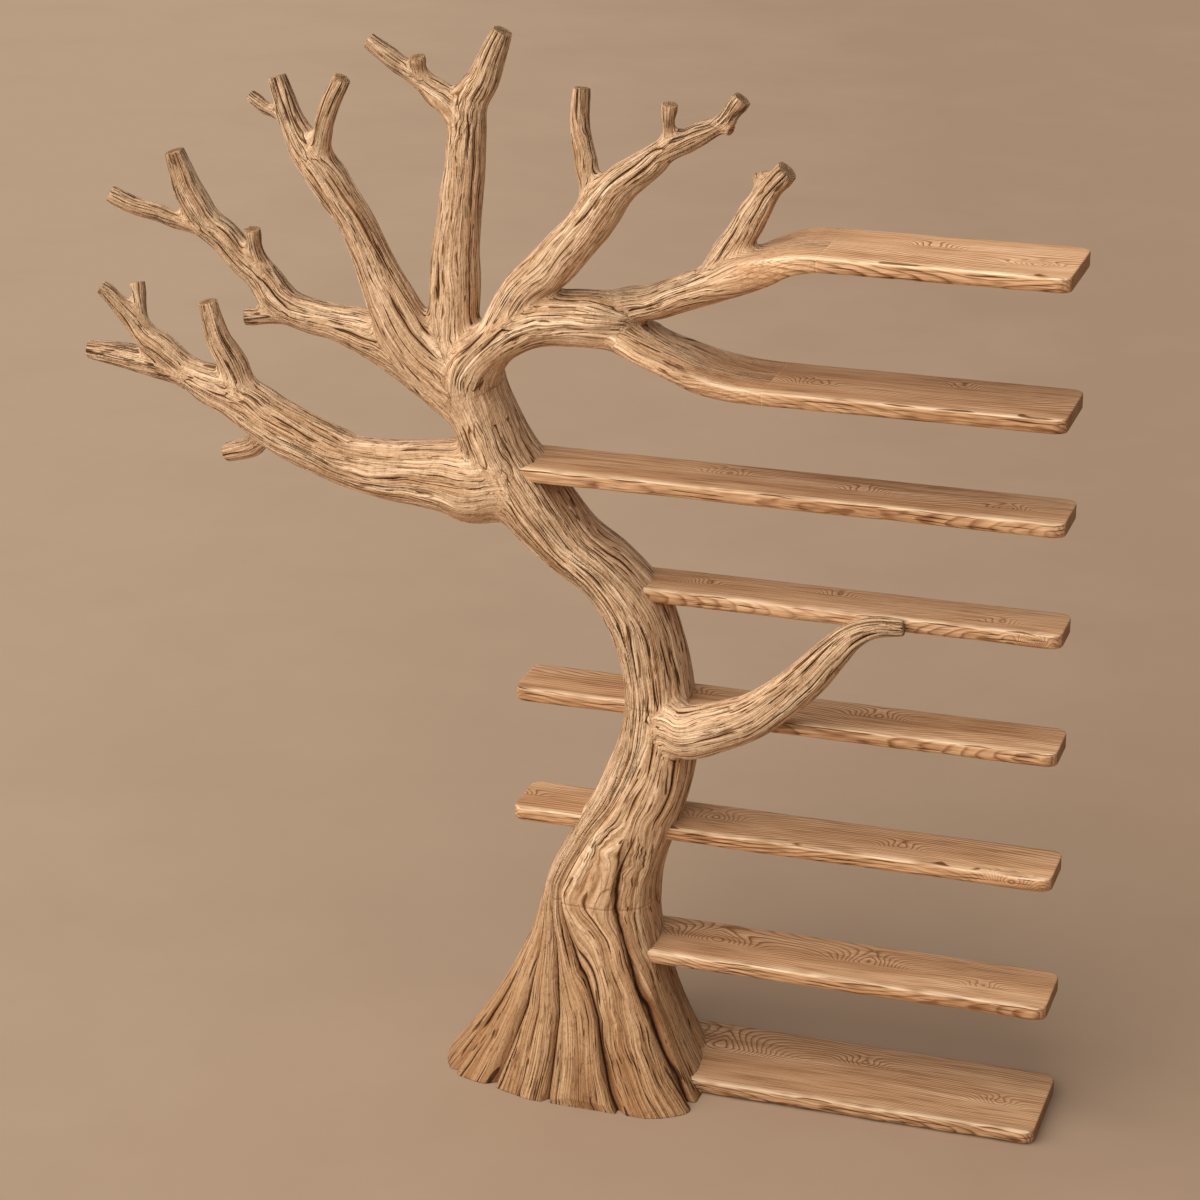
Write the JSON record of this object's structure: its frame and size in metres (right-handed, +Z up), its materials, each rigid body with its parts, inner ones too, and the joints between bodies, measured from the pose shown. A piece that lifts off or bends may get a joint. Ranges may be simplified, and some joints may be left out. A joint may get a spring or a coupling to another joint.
{
  "type": "tree shaped bookshelf",
  "caption": "Freestanding bookshelf carved as a leaning tree, with a fluted root flare, bare forked limbs, and thin live-edge boards that run out to one side",
  "frame": {"origin": "on the floor, in the middle of the trunk's foot, 190 mm in front of the flat back plane", "axes": "+X along the shelves towards their free ends, +Y towards the wall behind, +Z up"},
  "size_m": [2.0189, 0.3772, 2.0977],
  "materials": {
    "limb_wood": "oiled, carved and cracked along the grain",
    "board_wood": "oiled, planed faces with a live front edge",
    "dowel_wood": "bare, turned or sawn",
    "tie_steel": "plain flat bar"
  },
  "bodies": {
    "root": {"root_flare": "limb_wood", "lower_trunk": "limb_wood", "upper_trunk": "limb_wood", "shelf_1": "board_wood", "shelf_2": "board_wood", "shelf_3": "board_wood", "shelf_4": "board_wood", "shelf_5": "board_wood", "shelf_6": "board_wood", "shelf_7": "board_wood", "shelf_8": "board_wood", "brace_limb": "limb_wood", "arch_limb": "limb_wood", "top_right_limb": "limb_wood", "top_limb": "limb_wood", "low_left_limb": "limb_wood", "upper_left_limb": "limb_wood", "middle_left_limb": "limb_wood", "upper_arm": "limb_wood", "lower_arm": "limb_wood", "brace_dowel": "dowel_wood", "arch_dowel": "dowel_wood", "top_right_dowel": "dowel_wood", "top_dowel": "dowel_wood", "low_left_dowel": "dowel_wood", "upper_left_dowel": "dowel_wood", "middle_left_dowel": "dowel_wood", "upper_arm_dowel": "dowel_wood", "lower_arm_dowel": "dowel_wood", "low_left_stub": "limb_wood", "rising_twig": "limb_wood", "left_fork": "limb_wood", "left_fork_twig": "limb_wood", "middle_left_stub": "limb_wood", "middle_left_twig": "limb_wood", "middle_left_fork": "limb_wood", "upper_left_twig": "limb_wood", "upper_left_fork": "limb_wood", "top_branch": "limb_wood", "top_bud": "limb_wood", "top_right_twig": "limb_wood", "top_right_spur": "limb_wood", "top_right_bud": "limb_wood", "arm_twig": "limb_wood", "arm_bud": "limb_wood", "lower_trunk_dowel": "dowel_wood", "upper_trunk_dowel": "dowel_wood", "shelf_5_peg": "dowel_wood", "shelf_6_peg": "dowel_wood", "shelf_3_bar": "tie_steel", "shelf_4_bar": "tie_steel", "shelf_7_bar": "tie_steel", "shelf_8_bar": "tie_steel", "shelf_1_loose_tenon": "dowel_wood", "shelf_2_loose_tenon": "dowel_wood", "brace_pin": "dowel_wood"}
  },
  "joints": []
}
